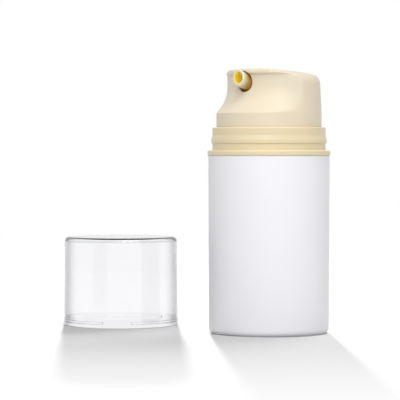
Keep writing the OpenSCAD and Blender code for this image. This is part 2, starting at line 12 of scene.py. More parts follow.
import bmesh
import bpy
import numpy as np
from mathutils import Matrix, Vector


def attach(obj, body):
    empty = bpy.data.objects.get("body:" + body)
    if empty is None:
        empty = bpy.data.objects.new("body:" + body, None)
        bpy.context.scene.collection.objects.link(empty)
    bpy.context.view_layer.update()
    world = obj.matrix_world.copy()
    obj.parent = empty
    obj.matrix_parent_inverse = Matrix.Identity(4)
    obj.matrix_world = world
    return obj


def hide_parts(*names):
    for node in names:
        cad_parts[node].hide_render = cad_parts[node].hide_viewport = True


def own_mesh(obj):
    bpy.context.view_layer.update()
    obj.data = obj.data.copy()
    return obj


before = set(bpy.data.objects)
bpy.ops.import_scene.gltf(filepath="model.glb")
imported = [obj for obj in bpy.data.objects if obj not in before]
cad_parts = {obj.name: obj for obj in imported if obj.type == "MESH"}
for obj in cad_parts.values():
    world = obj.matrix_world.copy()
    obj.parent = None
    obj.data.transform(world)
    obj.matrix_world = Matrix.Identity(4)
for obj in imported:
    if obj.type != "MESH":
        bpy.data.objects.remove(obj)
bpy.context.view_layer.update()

# %% [markdown]
# ## The camera
#
# The photograph was taken from a little above half height, from a long way off compared with the
# size of the bottle, so the lens is long and nothing converges much. The spout points to the left
# and towards the lens: the camera stands 46 degrees round from the spout's own plane. Its place is
# in millimetres from the middle of the bottle's foot. The frame is 400 pixels wide, the lens is
# given in the same pixels, and so is the horizon, counted down from the frame's upper edge. One
# millimetre at the bottle is 2.64 pixels.

# %% Camera
MM = 0.001
camera_turn = math.radians(46)
camera_right = Vector((math.cos(camera_turn), math.sin(camera_turn), 0))
camera_forward = Vector((-math.sin(camera_turn), math.cos(camera_turn), 0))
camera_distance, camera_side, camera_height = 806, -26.15, 68.5
frame_px, focal_px, horizon_px = 400, 2124, 152

camera = bpy.data.objects.new("camera", bpy.data.cameras.new("camera"))
bpy.context.scene.collection.objects.link(camera)
camera.location = (camera_right * camera_side - camera_forward * camera_distance
                   + Vector((0, 0, camera_height))) * MM
tilt_down = (frame_px / 2 - horizon_px) / focal_px
looks_along = camera_forward - Vector((0, 0, tilt_down))
camera.rotation_euler = looks_along.to_track_quat("-Z", "Y").to_euler()
camera.data.sensor_width = 36
camera.data.lens = camera.data.sensor_width * focal_px / frame_px
bpy.context.scene.camera = camera
bpy.context.scene.view_settings.view_transform = "Standard"
print("camera at", [round(c, 3) for c in camera.location], "lens", round(camera.data.lens, 1))

# %% [markdown]
# ## Colours and nodes
#
# A colour picker shows sRGB values, which are bent for the eye. Light adds up in linear values, so
# one function turns each hex colour to linear. A second small function adds any shader node,
# because every node is the same three things: its settings, its numbers and what feeds it.

# %% Two helpers for finishes
def linear(hex_colour):
    """Linear red, green, blue and 1: a channel up to 0.04045 is divided by 12.92, and one above
    it has 0.055 added, is divided by 1.055 and is raised to the power 2.4."""
    channels = np.array([int(hex_colour[i:i + 2], 16) for i in (1, 3, 5)]) / 255
    bent = ((channels + 0.055) / 1.055) ** 2.4
    return tuple(np.where(channels <= 0.04045, channels / 12.92, bent)) + (1.0,)


def add_node(tree, kind, numbers=(), feeds=(), **settings):
    """Adds a node of a kind to a tree, sets its fields and its inputs' numbers, and links feeds."""
    made = tree.nodes.new(kind)
    for field, value in settings.items():
        setattr(made, field, value)
    for socket, value in dict(numbers).items():
        made.inputs[socket].default_value = value
    for socket, source in dict(feeds).items():
        tree.links.new(source, made.inputs[socket])
    return made


def new_finish(name):
    """An empty material with nodes, and its tree."""
    finish = bpy.data.materials.new(name)
    finish.use_nodes = True
    finish.node_tree.nodes.clear()
    return finish, finish.node_tree


print("half grey on screen is", [round(c, 3) for c in linear("#808080")], "in light")

# %% [markdown]
# ## The light
#
# The real set-up is a white sweep with big soft sources. A surface that faces an even white sky
# of strength 1 renders at its own colour, so the sky here stays below that nearly everywhere, and
# lamps make up the rest. It is brightest half way up in front, and darkest at the sides: that is
# what gives a white cylinder its pale middle and greyer flanks, and what leaves the wall under the
# brim to be lit by the cream slope below it, so that its shade is warm. The camera sees plain
# white, and so do gloss and clear plastic.

# %% Sky
sky = bpy.data.worlds.new("soft studio")
bpy.context.scene.world = sky
sky.use_nodes = True
tree = sky.node_tree
tree.nodes.clear()
side_level, front_level, back_level = 0.18, 1.02, 0.62


def rays(tree, *kinds):
    """A socket that is 1 for rays of any of the kinds named and 0 for all others."""
    path = add_node(tree, "ShaderNodeLightPath")
    found = path.outputs[f"Is {kinds[0]} Ray"]
    for kind in kinds[1:]:
        found = add_node(tree, "ShaderNodeMath", operation="MAXIMUM",
                         feeds={0: found, 1: path.outputs[f"Is {kind} Ray"]}).outputs[0]
    return found


def glow_around(tree, axis, starts, low, high):
    """A smooth rise from low to high, as the part of the sky's direction that lies along an axis
    goes from starts to 1."""
    direction = add_node(tree, "ShaderNodeTexCoord")
    along = add_node(tree, "ShaderNodeVectorMath", operation="DOT_PRODUCT",
                     numbers={1: tuple(axis)}, feeds={0: direction.outputs["Generated"]})
    return add_node(tree, "ShaderNodeMapRange", interpolation_type="SMOOTHSTEP",
                    numbers={"From Min": starts, "From Max": 1.0, "To Min": low, "To Max": high},
                    feeds={"Value": along.outputs["Value"]}).outputs[0]


front_rise = math.radians(45)
front_axis = -camera_forward * math.cos(front_rise) + Vector((0, 0, math.sin(front_rise)))
front_glow = glow_around(tree, front_axis, 0.45, side_level, front_level)
back_glow = glow_around(tree, camera_forward, 0.1, 0.0, back_level - side_level)
level = add_node(tree, "ShaderNodeMath", operation="ADD", feeds={0: front_glow, 1: back_glow})
lit = add_node(tree, "ShaderNodeBackground", numbers={"Color": linear("#FCFBFF")},
               feeds={"Strength": level.outputs[0]})
seen = add_node(tree, "ShaderNodeBackground", numbers={"Color": (1, 1, 1, 1), "Strength": 1.0})
choice = add_node(tree, "ShaderNodeMixShader",
                  feeds={0: rays(tree, "Camera", "Glossy", "Transmission"), 1: lit.outputs[0],
                         2: seen.outputs[0]})
add_node(tree, "ShaderNodeOutputWorld", feeds={"Surface": choice.outputs[0]})
print("sky", side_level, "at the sides,", front_level, "in front and", back_level, "behind")

# %% [markdown]
# Three lamps stand in that sky, 1.2 m from the bottle. A square soft box hangs high in front, to
# the right: it makes the slope of the finger scoop the palest part of the head and leaves the wall
# under the brim in shade. A tall one hangs above the lens, a little to the left, and draws the
# pale band down the middle of the bottle. The cap is kept out of that one's light, because it
# would show there as a white window. A small one looks into the spout's mouth and lights its
# lining alone.

# %% Soft boxes
def towards(turn, rise):
    """The direction that points turn degrees round from the camera's side, positive to the right,
    and rise degrees up."""
    turn, rise = math.radians(turn), math.radians(rise)
    flat = -camera_forward * math.cos(turn) + camera_right * math.sin(turn)
    return flat * math.cos(rise) + Vector((0, 0, math.sin(rise)))


def soft_box(name, turn, rise, width, height, watts, colour):
    """A rectangular lamp that faces the middle of the bottle, width by height metres."""
    lamp = bpy.data.objects.new(name, bpy.data.lights.new(name, "AREA"))
    lamp.data.shape = "RECTANGLE"
    lamp.data.size = width
    lamp.data.size_y = height
    lamp.data.energy = watts
    lamp.data.color = linear(colour)[:3]
    away = towards(turn, rise)
    lamp.location = bottle_middle + away * lamp_distance
    lamp.rotation_euler = (-away).to_track_quat("-Z", "Y").to_euler()
    bpy.context.scene.collection.objects.link(lamp)
    return lamp


bottle_middle, lamp_distance = Vector((0, 0, 50 * MM)), 1.2
top_box = soft_box("top soft box", turn=26, rise=66, width=0.7, height=0.7, watts=4.3,
                   colour="#FFFDF8")
front_box = soft_box("front soft box", turn=-11, rise=34, width=0.5, height=0.9, watts=4.8,
                     colour="#FFFEFC")
mouth_box = soft_box("mouth soft box", turn=-4, rise=12, width=0.3, height=0.3, watts=3.8,
                     colour="#FFFFFF")
print("soft boxes", [lamp.data.energy for lamp in (top_box, front_box, mouth_box)], "watts")

# %% [markdown]
# The floor is a pale paper sheet, burnt out to white in the picture except where something shades
# it. The shadows run a long way towards the lens and fade as they come: from the bottle's middle
# to 0.26 m in front of it the sheet turns to plain white, and it is white all round from 0.9 m on.
# Gloss and clear plastic see it nearly white throughout. For the light that it throws back onto
# the object it counts as a darker grey, or the bottle's foot would glow.

# %% Floor
floor_mesh = bpy.data.meshes.new("floor")
reach, sunk = 6.0, -0.02 * MM
floor_mesh.from_pydata([(-reach, -reach, sunk), (reach, -reach, sunk), (reach, reach, sunk),
                        (-reach, reach, sunk)], [], [(0, 1, 2, 3)])
floor = bpy.data.objects.new("floor", floor_mesh)
bpy.context.scene.collection.objects.link(floor)
paper, tree = new_finish("white paper sweep")
looked_at = rays(tree, "Camera", "Glossy", "Transmission")
place = add_node(tree, "ShaderNodeTexCoord")
from_middle = add_node(tree, "ShaderNodeVectorMath", operation="LENGTH",
                       feeds={0: place.outputs["Object"]})
far_off = add_node(tree, "ShaderNodeMapRange", interpolation_type="SMOOTHSTEP",
                   numbers={"From Min": 0.28, "From Max": 0.9},
                   feeds={"Value": from_middle.outputs["Value"]})
towards_lens = add_node(tree, "ShaderNodeVectorMath", operation="DOT_PRODUCT",
                        numbers={1: tuple(-camera_forward)}, feeds={0: place.outputs["Object"]})
near_lens = add_node(tree, "ShaderNodeMapRange",
                     numbers={"From Min": 0.0, "From Max": 0.26},
                     feeds={"Value": towards_lens.outputs["Value"]})
burnt_out = add_node(tree, "ShaderNodeMath", operation="MAXIMUM",
                     feeds={0: far_off.outputs[0], 1: near_lens.outputs[0]})
in_view = add_node(tree, "ShaderNodeMath", operation="MULTIPLY",
                   feeds={0: burnt_out.outputs[0], 1: looked_at})
through = add_node(tree, "ShaderNodeMath", operation="MULTIPLY", numbers={1: 0.88},
                   feeds={0: rays(tree, "Glossy", "Transmission")})
fade = add_node(tree, "ShaderNodeMath", operation="MAXIMUM",
                feeds={0: in_view.outputs[0], 1: through.outputs[0]})
paper_white = add_node(tree, "ShaderNodeMix", data_type="RGBA",
                       numbers={6: linear("#A0A0A0"), 7: linear("#C5C5C6")},
                       feeds={0: looked_at})
sheet = add_node(tree, "ShaderNodeBsdfDiffuse", feeds={"Color": paper_white.outputs[2]})
white = add_node(tree, "ShaderNodeEmission", numbers={"Color": (1, 1, 1, 1), "Strength": 1.0})
both = add_node(tree, "ShaderNodeMixShader",
                feeds={0: fade.outputs[0], 1: sheet.outputs[0], 2: white.outputs[0]})
add_node(tree, "ShaderNodeOutputMaterial", feeds={"Surface": both.outputs[0]})
floor_mesh.materials.append(paper)
print("floor", 2 * reach, "m wide")

# %% [markdown]
# The edges of the shadows are crisp, as from a low window behind. A lamp as low as that would flare
# on the bottle's back and edges, so two low suns light the sheet alone: a small one almost
# straight behind draws the shadows, and a wide one behind and to the right lightens their right
# halves.

# %% Low suns
floor_only = bpy.data.collections.new("lit by the low suns")
floor_only.objects.link(floor)


def low_sun(name, turn, rise, width, level):
    """A sun that lights the floor alone, width degrees wide. level is what it gives the floor,
    where 1 would render a white sheet as white: pi times that, over the sine of its height."""
    sun = bpy.data.objects.new(name, bpy.data.lights.new(name, "SUN"))
    sun.rotation_euler = (-towards(turn, rise)).to_track_quat("-Z", "Y").to_euler()
    sun.data.angle = math.radians(width)
    sun.data.energy = math.pi * level / math.sin(math.radians(rise))
    bpy.context.scene.collection.objects.link(sun)
    sun.light_linking.receiver_collection = floor_only
    print(name, round(sun.data.energy, 2), "watts per square metre")


low_sun("low sun behind", turn=182.4, rise=9, width=3, level=0.95)
low_sun("wide sun behind right", turn=146, rise=28, width=50, level=0.37)

# %% [markdown]
# ## Moulded plastics
#
# Most of this bottle is polypropylene, injection moulded in polished or finely blasted steel. It
# is a satin plastic with a refractive index near 1.49. What tells it from paint is that the gloss
# wanders a little, where the melt cooled unevenly, and that the skin has a faint orange peel,
# 0.7 mm wide and a few thousandths of a millimetre deep. A little light also sinks in and comes
# out beside where it went in, more of it in red than in blue, which warms the shade. One function
# makes that from three noises, and each plastic gives it its own colours, roughness and glow, the
# share of the light that sinks in. The head's cream has more white in it than the collar's: a
# painted sheen for the white gloss on the finger scoop's slope. The spout's plastic is painted
# amber brown towards its root: a painted shade for the tube's shaded root and the dim gap round
# it, where the spout goes into the head.

# %% Moulded plastic
def moulded(name, colour, cooler, rough, peel_mm=0.7, peel_um=6, flow_mm=14, index=1.49, glow=0.0,
            root=None, root_shade_mm=(0, 1)):
    """A moulded plastic: a wide noise drifts between two near colours, a middle one takes the
    roughness a tenth down or up, and a fine one lifts the skin by up to peel_um thousandths of a
    millimetre. A root colour, a painted shade, takes over along the Y axis from the first to the
    second of the two places given for it, in millimetres."""
    finish, tree = new_finish(name)
    place = add_node(tree, "ShaderNodeTexCoord").outputs["Object"]
    flow = add_node(tree, "ShaderNodeTexNoise", feeds={"Vector": place},
                    numbers={"Scale": 1 / (flow_mm * MM), "Detail": 2.0, "Roughness": 0.5})
    tint = add_node(tree, "ShaderNodeMix", data_type="RGBA",
                    numbers={6: linear(colour), 7: linear(cooler)},
                    feeds={0: flow.outputs["Fac"]})
    # painted shade: the root colour darkens the spout towards the head's hole, where it lies in
    # shade
    if root:
        along = add_node(tree, "ShaderNodeSeparateXYZ", feeds={0: place})
        share = add_node(tree, "ShaderNodeMapRange", interpolation_type="SMOOTHSTEP",
                         numbers={"From Min": root_shade_mm[0] * MM, "From Max": root_shade_mm[1] * MM},
                         feeds={"Value": along.outputs["Y"]})
        tint = add_node(tree, "ShaderNodeMix", data_type="RGBA", numbers={7: linear(root)},
                        feeds={0: share.outputs[0], 6: tint.outputs[2]})
    skin = add_node(tree, "ShaderNodeTexNoise", feeds={"Vector": place},
                    numbers={"Scale": 1 / (4 * peel_mm * MM), "Detail": 3.0, "Roughness": 0.6})
    gloss = add_node(tree, "ShaderNodeMapRange", feeds={"Value": skin.outputs["Fac"]},
                     numbers={"From Min": 0.3, "From Max": 0.7, "To Min": rough * 0.9,
                              "To Max": rough * 1.1})
    peel = add_node(tree, "ShaderNodeTexNoise", feeds={"Vector": place},
                    numbers={"Scale": 1 / (peel_mm * MM), "Detail": 2.0, "Roughness": 0.5})
    bump = add_node(tree, "ShaderNodeBump", feeds={"Height": peel.outputs["Fac"]},
                    numbers={"Strength": 0.5, "Distance": peel_um * 1e-6})
    shader = add_node(tree, "ShaderNodeBsdfPrincipled",
                      numbers={"IOR": index, "Subsurface Weight": glow,
                               "Subsurface Radius": (1.0, 0.65, 0.3), "Subsurface Scale": 0.0025},
                      feeds={"Base Color": tint.outputs[2], "Roughness": gloss.outputs[0],
                             "Normal": bump.outputs[0]})
    add_node(tree, "ShaderNodeOutputMaterial", feeds={"Surface": shader.outputs[0]})
    return finish


white_pp = moulded("white polypropylene, moulded satin", "#F5F5F8", "#F2F2F6", 0.40)
cream_pp = moulded("cream polypropylene, moulded satin", "#EADAB7", "#E7D6B1", 0.36, glow=0.35)
# painted sheen: the head's cream has more white in it than the collar's, for its scoop's gloss
cream_head = moulded("cream polypropylene, sheen_painted", "#E8DCC4", "#E6D9BF", 0.40, peel_um=3,
                     glow=0.2)
# the spout's amber-brown root colour is a painted shade for the dim gap round the head's hole
spout_pp = moulded("near-white polypropylene, moulded gloss", "#EFE8D6", "#EBE3CE", 0.28, glow=0.8,
                   root="#BE9038", root_shade_mm=(-16.5, -13.6))
natural_pp = moulded("natural polypropylene, milky", "#E6E6E0", "#DFE0DA", 0.38, glow=0.3)
natural_pe = moulded("natural polyethylene, waxy", "#E9EAE6", "#E2E3DF", 0.5, index=1.51,
                     glow=0.35)
print("plastics", [m.name for m in (white_pp, cream_pp, cream_head, spout_pp, natural_pp,
                                    natural_pe)])

# %% [markdown]
# The lining of the spout's mouth is the same plastic, tinted right through in a deep amber. A tenth
# of the light sinks into it, and a faint cloud 1.5 mm wide keeps its colour and gloss from being
# even.

# %% Amber plastic
amber_pp, tree = new_finish("amber polypropylene, tinted")
place = add_node(tree, "ShaderNodeTexCoord").outputs["Object"]
cloud = add_node(tree, "ShaderNodeTexNoise", feeds={"Vector": place},
                 numbers={"Scale": 1 / (1.5 * MM), "Detail": 2.0})
tint = add_node(tree, "ShaderNodeMix", data_type="RGBA",
                numbers={6: linear("#FFDD42"), 7: linear("#FAD02E")},
                feeds={0: cloud.outputs["Fac"]})
gloss = add_node(tree, "ShaderNodeMapRange", feeds={"Value": cloud.outputs["Fac"]},
                 numbers={"To Min": 0.24, "To Max": 0.34})
shader = add_node(tree, "ShaderNodeBsdfPrincipled",
                  numbers={"IOR": 1.49, "Subsurface Weight": 0.1,
                           "Subsurface Radius": (1.0, 0.7, 0.25), "Subsurface Scale": 0.003},
                  feeds={"Base Color": tint.outputs[2], "Roughness": gloss.outputs[0]})
add_node(tree, "ShaderNodeOutputMaterial", feeds={"Surface": shader.outputs[0]})
print("made", amber_pp.name)

# %% [markdown]
# The cap is clear styrene, polished, with a refractive index of 1.59. It is a true wall with an
# inside and an outside, so the light bends in it as in the real one, and its edges draw
# themselves. A clear moulding is never quite even: a very faint ripple 9 mm wide and a breath of
# haze are what the eye takes for plastic and not for glass. Where the wall is seen edge-on its
# colour is painted grey: a painted shade for the darker surroundings that the edges bend and
# reflect. Only the faces by which light enters carry that painted grey: inside the wall light runs
# on by total reflection, and a grey met at every turn would make the top edge black.

# %% Clear styrene
clear_styrene, tree = new_finish("clear polystyrene, polished")
place = add_node(tree, "ShaderNodeTexCoord").outputs["Object"]
ripple = add_node(tree, "ShaderNodeTexNoise", feeds={"Vector": place},
                  numbers={"Scale": 1 / (9 * MM), "Detail": 1.0})
haze = add_node(tree, "ShaderNodeTexNoise", feeds={"Vector": place},
                numbers={"Scale": 1 / (2.5 * MM), "Detail": 4.0})
gloss = add_node(tree, "ShaderNodeMapRange", feeds={"Value": haze.outputs["Fac"]},
                 numbers={"From Min": 0.35, "From Max": 0.7, "To Min": 0.015, "To Max": 0.05})
bump = add_node(tree, "ShaderNodeBump", feeds={"Height": ripple.outputs["Fac"]},
                numbers={"Strength": 0.4, "Distance": 20e-6})
facing = add_node(tree, "ShaderNodeLayerWeight", numbers={"Blend": 0.5})
edge = add_node(tree, "ShaderNodeMapRange", interpolation_type="SMOOTHSTEP",
                numbers={"From Min": 0.35, "From Max": 0.85},
                feeds={"Value": facing.outputs["Facing"]})
side = add_node(tree, "ShaderNodeNewGeometry")
entering = add_node(tree, "ShaderNodeMath", operation="SUBTRACT", numbers={0: 1.0},
                    feeds={1: side.outputs["Backfacing"]})
share = add_node(tree, "ShaderNodeMath", operation="MULTIPLY",
                 feeds={0: edge.outputs[0], 1: entering.outputs[0]})
# painted shade: the faces light enters by turn grey where the wall is seen edge-on
tint = add_node(tree, "ShaderNodeMix", data_type="RGBA",
                numbers={6: linear("#FBFBFC"), 7: linear("#A8A8AE")},
                feeds={0: share.outputs[0]})
shader = add_node(tree, "ShaderNodeBsdfPrincipled",
                  numbers={"IOR": 1.59, "Transmission Weight": 1.0},
                  feeds={"Base Color": tint.outputs[2], "Roughness": gloss.outputs[0],
                         "Normal": bump.outputs[0]})
add_node(tree, "ShaderNodeOutputMaterial", feeds={"Surface": shader.outputs[0]})
print("made", clear_styrene.name)

# %% [markdown]
# Inside the pump are two more materials. The spring and the two valve balls are stainless steel:
# the wire is drawn through a die, which leaves it lightly scored every third of a millimetre, and
# the balls are lapped almost to a mirror. The sealing rings are black synthetic rubber, soft and
# almost without gloss.

# %% Stainless steel and rubber
def steel(name, rough_low, rough_high, score_mm):
    """Stainless steel whose roughness runs between two values with a noise of width score_mm."""
    finish, tree = new_finish(name)
    place = add_node(tree, "ShaderNodeTexCoord").outputs["Object"]
    scores = add_node(tree, "ShaderNodeTexNoise", feeds={"Vector": place},
                      numbers={"Scale": 1 / (score_mm * MM), "Detail": 3.0})
    tint = add_node(tree, "ShaderNodeMix", data_type="RGBA",
                    numbers={6: linear("#C9CACC"), 7: linear("#BDBEC1")},
                    feeds={0: scores.outputs["Fac"]})
    gloss = add_node(tree, "ShaderNodeMapRange", feeds={"Value": scores.outputs["Fac"]},
                     numbers={"To Min": rough_low, "To Max": rough_high})
    shader = add_node(tree, "ShaderNodeBsdfPrincipled", numbers={"Metallic": 1.0},
                      feeds={"Base Color": tint.outputs[2], "Roughness": gloss.outputs[0]})
    add_node(tree, "ShaderNodeOutputMaterial", feeds={"Surface": shader.outputs[0]})
    return finish


drawn_steel = steel("stainless spring wire, drawn", 0.2, 0.4, 0.3)
lapped_steel = steel("stainless valve ball, lapped", 0.04, 0.1, 1.0)

seal_rubber, tree = new_finish("black synthetic rubber, moulded")
place = add_node(tree, "ShaderNodeTexCoord").outputs["Object"]
grain = add_node(tree, "ShaderNodeTexNoise", feeds={"Vector": place},
                 numbers={"Scale": 1 / (0.4 * MM), "Detail": 4.0})
tint = add_node(tree, "ShaderNodeMix", data_type="RGBA",
                numbers={6: linear("#2E2E30"), 7: linear("#3A3A3C")},
                feeds={0: grain.outputs["Fac"]})
bump = add_node(tree, "ShaderNodeBump", feeds={"Height": grain.outputs["Fac"]},
                numbers={"Strength": 0.5, "Distance": 10e-6})
shader = add_node(tree, "ShaderNodeBsdfPrincipled", numbers={"IOR": 1.52, "Roughness": 0.75},
                  feeds={"Base Color": tint.outputs[2], "Normal": bump.outputs[0]})
add_node(tree, "ShaderNodeOutputMaterial", feeds={"Surface": shader.outputs[0]})
print("made", drawn_steel.name, "and", seal_rubber.name)

# %% [markdown]
# ## How a skin becomes a mesh
#
# Every skin here is a grid: rows along a profile, and columns round an axis. A grid is one numpy
# array, and so are its faces. Where a row shrinks to a point, as in the middle of a top, its
# corners are merged, which closes the pole. The piece is then smooth, with sharp lines only where
# two faces really meet at an angle.

# %% Grids, meshes and pieces
def grid_faces(rows, columns, closed):
    """Quads between each row and the next and each column and the next. Columns run round and
    close on themselves; rows do so too where closed is true."""
    row = np.arange(rows if closed else rows - 1)[:, None]
    column = np.arange(columns)[None, :]
    after, beside = (row + 1) % rows, (column + 1) % columns
    return np.stack([row * columns + column, row * columns + beside,
                     after * columns + beside, after * columns + column], axis=-1).reshape(-1, 4)


def as_object(name, *grids):
    """One object from grids in millimetres. A grid is an array of rows by columns by 3, or a pair
    of that and the word True for one whose last row joins its first."""
    points, faces, count = [], [], 0
    for grid in grids:
        grid, closed = grid if isinstance(grid, tuple) else (grid, False)
        faces.append(grid_faces(grid.shape[0], grid.shape[1], closed) + count)
        points.append(grid.reshape(-1, 3) * MM)
        count += grid.shape[0] * grid.shape[1]
    mesh = bpy.data.meshes.new(name)
    mesh.from_pydata(np.concatenate(points).tolist(), [], np.concatenate(faces).tolist())
    work = bmesh.new()
    work.from_mesh(mesh)
    bmesh.ops.remove_doubles(work, verts=work.verts, dist=1e-7)
    work.to_mesh(mesh)
    work.free()
    made = bpy.data.objects.new(name, mesh)
    bpy.context.scene.collection.objects.link(made)
    return made


def join_or_cut(target, tool, how):
    """Adds the tool's solid to the target's, or takes it away, and removes the tool."""
    change = target.modifiers.new("change", "BOOLEAN")
    change.operation = how
    change.solver = "EXACT"
    change.object = tool
    solid = bpy.data.meshes.new_from_object(
        target.evaluated_get(bpy.context.evaluated_depsgraph_get()))
    target.modifiers.clear()
    target.data = solid
    bpy.data.objects.remove(tool)


def dress(piece, finish, body, slot, *nodes, sharp=35):
    """Gives a piece its shading and finish, hangs it on its body and hides the CAD parts it
    stands for.
    """
    piece.data.shade_smooth()
    piece.data.set_sharp_from_angle(angle=math.radians(sharp))
    piece.data.materials.clear()
    piece.data.materials.append(finish)
    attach(piece, body)
    if nodes:
        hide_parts(*nodes)
    print(piece.name, len(piece.data.vertices), "points", len(piece.data.polygons), "faces")


# %% [markdown]
# A round piece is a profile turned about an axis. A moulding has no knife edges: each corner of
# the profile carries its own small radius. On a long straight side, two more points close to its
# ends keep the shading of the corners from running along the side.

# %% Profiles with rounded corners
def rounded(corners, steps=6):
    """A closed outline from corners of radius, height and rounding. The arc at a corner touches
    both sides where they are rounding / tan(half the corner's angle) from it."""
    outline = np.array([c[:2] for c in corners], float)
    arcs = []
    for here, before, after, (_, _, radius) in zip(
            outline, np.roll(outline, 1, 0), np.roll(outline, -1, 0), corners):
        back, on = before - here, after - here
        back, on = back / np.linalg.norm(back), on / np.linalg.norm(on)
        half = math.acos(np.clip(back @ on, -1, 1)) / 2
        if radius == 0 or half > math.pi / 2 - 0.01:
            arcs.append(here[None, :])
            continue
        middle = here + (back + on) / np.linalg.norm(back + on) * radius / math.sin(half)
        touch = here + np.stack([back, on]) * radius / math.tan(half) - middle
        share = np.linspace(0, 1, steps + 1)[:, None] * (math.pi - 2 * half)
        arcs.append(middle + (touch[0] * np.sin(math.pi - 2 * half - share)
                              + touch[1] * np.sin(share)) / math.sin(math.pi - 2 * half))
    return with_ends(np.concatenate(arcs))


def with_ends(outline, near=0.25):
    """The outline with two more points on each long side, near millimetres from its ends."""
    after = np.roll(outline, -1, 0)
    length = np.linalg.norm(after - outline, axis=1)[:, None]
    step = np.where(length > 4 * near, near / np.maximum(length, 1e-9), 0)
    row = np.stack([outline, outline + (after - outline) * step,
                    after - (after - outline) * step], axis=1)
    keep = np.stack([np.ones(len(outline), bool), step[:, 0] > 0, step[:, 0] > 0], axis=1)
    return row[keep]


def turned(outline, columns=192):
    """A profile turned about the upright axis: its radius times the cosine and the sine of each
    column's angle, and its height."""
    angle = np.arange(columns) * 2 * math.pi / columns
    radius, height = outline[:, 0][:, None], outline[:, 1][:, None]
    return np.stack([radius * np.cos(angle), radius * np.sin(angle),
                     height + 0 * angle], axis=-1)


print("a square with rounded corners has",
      len(rounded([(1, 0, .2), (3, 0, .2), (3, 2, .2), (1, 2, .2)])), "points")

# %% [markdown]
# ## The bottle
#
# The body is a plain white cylinder, a quarter of a millimetre narrower at its foot, as a moulding
# has to be to leave its mould. It stands on a ring round an air hole. Its mouth has a step and a
# groove for the lid that carries the pump.

# %% Bottle body
bottle_outline = rounded([
    (3.2, 0.8, 0.2), (17.15, 0.8, 0.3), (17.95, 0, 0.3), (22.74, 0, 1.8), (23.0, 67.2, 0.25),
    (22.1, 67.2, 0.2), (22.1, 65.4, 0.1), (21.3, 65.4, 0.15), (21.3, 62.9, 0.1),
    (21.6, 62.65, 0.1), (21.6, 62.15, 0.1), (21.3, 61.9, 0.1), (21.3, 2.4, 0.9),
    (3.2, 2.4, 0.2)])
bottle = as_object("bottle_skin", (turned(bottle_outline, 256), True))
dress(bottle, white_pp, "bottle", "white_pp", "bottle_body")

# %% [markdown]
# ## The collar
#
# The collar is the cream ring between the bottle and the head: a flange on the bottle's rim, a
# groove, and a ring whose foot is a lip that the cap snaps over. Its shapes are small, so the
# roundings matter more than anywhere else: they catch the pale lines of light.

# %% Collar
collar_outline = rounded([
    (19.2, 58.5, 0.2), (20.2, 58.5, 0.2), (20.2, 59.5, 0.2), (20.55, 59.75, 0.1),
    (20.55, 60.25, 0.1), (20.2, 60.5, 0.2), (20.2, 67.2, 0.1), (23.3, 67.2, 0.3),
    (23.3, 69.1, 0.35), (21.5, 69.1, 0.25), (21.5, 71.75, 0.1), (21.9, 71.75, 0.2),
    (21.9, 73.05, 0.5), (21.5, 74.78, 1.0), (21.5, 77.8, 0.35), (20.25, 77.8, 0.3),
    (20.25, 69.9, 0.3), (7.3, 69.9, 0.2), (7.3, 68.6, 0.2), (19.2, 68.6, 0.3)])
collar = as_object("collar_skin", (turned(collar_outline, 256), True))
dress(collar, cream_pp, "bottle", "cream_pp", "collar")

# %% [markdown]
# ## The push head
#
# The head is a cup with its front scooped out for the finger. Seen from above, each level of it is
# a circle, and where the scoop has bitten in, a flatter arc that runs through the same two points
# at the sides. So its radius in any direction is the smaller of two: the round side's, and the
# distance to that arc. The bite grows with height along a parabola, stands straight, and steps
# back out under the brim. A gentle dome closes the top. Its edge is rounded 4.6 mm, more than the
# CAD solid's 3 mm, because the photograph shows it as soft as that.

# %% Sides of the head
head_r, head_z, head_top_z = 19.95, 75.2, 99.9
ledge_z, scoop_top_z, brim_z = 83.2, 93.4, 97.4
scoop_depth, scoop_run, brim_proud = 7.0, 10.2, 1.0
head_wall, roof_t = 1.3, 1.5
head_draft, head_edge_r = 0.55, 4.6
dome_r, dome_y = 250, -21.55
scoop_side_r = head_r + 0.5


def bite(z, inwards):
    """Depth of the scoop at height z: the full depth times one less the square of what is left
    of the run, which goes below nothing under the ledge. Under the brim it steps out at 58
    degrees, by 1.6 mm for each millimetre of height. The mean over a third of a millimetre of
    height rounds its bends. inwards is the wall's thickness where its inside is drawn, else 0."""
    z = z[..., None] + np.linspace(-0.15, 0.15, 11)
    left = np.clip((scoop_top_z - z - inwards / 2) / scoop_run, 0, 1.15)
    ramp = scoop_depth * (1 - left ** 2)
    under = np.clip(1.6 * (z + inwards - brim_z), 0, brim_proud)
    return (ramp - under + inwards).mean(-1)


def round_side(z, inwards):
    """Radius of the head without its scoop: straight up the skirt, drawn in a little above it, and
    turned in over the top edge on an arc of radius edge, which starts edge and dome_fall below the
    top. A side as flat as the arc's end wouldn't meet the dome cleanly, so from arc_share of its
    height on it runs straight in, past_slope millimetres for each of height."""
    side, edge = head_r - inwards, max(0.6, head_edge_r - inwards)
    top = head_top_z - (roof_t if inwards else 0)
    dome_fall, arc_share, past_slope = 1.3, 0.93, 1.3
    bend_z = top - dome_fall - edge
    drawn = side - head_draft * np.clip((z - ledge_z) / (bend_z - ledge_z), 0, 1)
    over = np.clip(z - bend_z, 0, edge * arc_share)
    past = np.clip(z - bend_z - edge * arc_share, 0, None)
    return drawn - edge + np.sqrt(edge ** 2 - over ** 2) - past * past_slope


